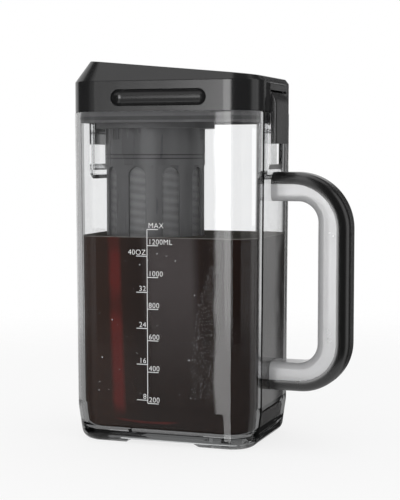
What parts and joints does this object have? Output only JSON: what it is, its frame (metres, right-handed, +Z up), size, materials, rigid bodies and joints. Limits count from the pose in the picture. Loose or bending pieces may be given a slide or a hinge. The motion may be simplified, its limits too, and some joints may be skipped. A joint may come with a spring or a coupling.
{
  "type": "cold brew coffee maker",
  "caption": "Clear rectangular jug with a side handle, a sloped black lid with a thumb lever and spout flap, and a hanging strainer basket for cold brewing coffee.",
  "frame": {"origin": "on the surface the jug stands on, under the middle of the whole outline with the handle", "axes": "+Z up, +X towards the handle, spout on the -X side, +Y across to the back"},
  "size_m": [0.1766, 0.094, 0.2442],
  "materials": {
    "clear": "clear polished plastic",
    "frosted": "milky clear plastic, polished",
    "black_gloss": "glossy black plastic",
    "black_satin": "satin black plastic",
    "black_matte": "matte black plastic",
    "filter_black": "smoke black plastic, satin",
    "silicone": "soft black silicone",
    "steel": "drawn stainless steel",
    "steel_mesh": "fine woven stainless steel mesh"
  },
  "bodies": {
    "jug": {"pitcher": "clear", "handle_core": "frosted", "handle_cover": "black_gloss"},
    "lid": {"lid_shell": "black_satin", "lid_plug": "black_matte", "filter_socket": "black_matte", "spout_channel": "black_matte", "lid_seal": "silicone", "spout_strainers": "steel_mesh", "lever_pin": "steel", "lever_spring": "steel", "flap_pin": "steel"},
    "lever": {"pour_lever": "black_satin"},
    "rod": {"push_rod": "black_matte"},
    "flap": {"spout_flap": "black_satin", "flap_seal": "silicone"},
    "filter": {"filter_cup": "filter_black", "filter_cage": "filter_black", "filter_mesh": "steel_mesh", "filter_floor_mesh": "steel_mesh", "filter_seal": "silicone"}
  },
  "joints": [
    {"name": "lid_lift", "type": "slide", "parent": "jug", "child": "lid", "axis": [0, 0, 1], "range_m": [0, 0.2]},
    {"name": "lever_press", "type": "hinge", "parent": "lid", "child": "lever", "pos_m": [0.036, 0, 0.2213], "axis": [0, 1, 0], "range_deg": [0, 6.5], "stiffness_Nm_per_rad": 0.6, "springref_deg": -6.88},
    {"name": "rod_push", "type": "slide", "parent": "lid", "child": "rod", "axis": [-1, 0, 0], "range_m": [0, 0.0012]},
    {"name": "flap_open", "type": "hinge", "parent": "lid", "child": "flap", "pos_m": [-0.069, 0, 0.24138], "axis": [0, 1, 0], "range_deg": [0, 31]},
    {"name": "filter_twist", "type": "hinge", "parent": "lid", "child": "filter", "pos_m": [-0.04425, 0, 0.19], "axis": [0, 0, 1], "range_deg": [0, 30]}
  ],
  "couplings": [
    {"joint": "rod_push", "follows": "lever_press", "m_per_rad": 0.008163},
    {"joint": "flap_open", "follows": "lever_press", "ratio": 4.119}
  ]
}
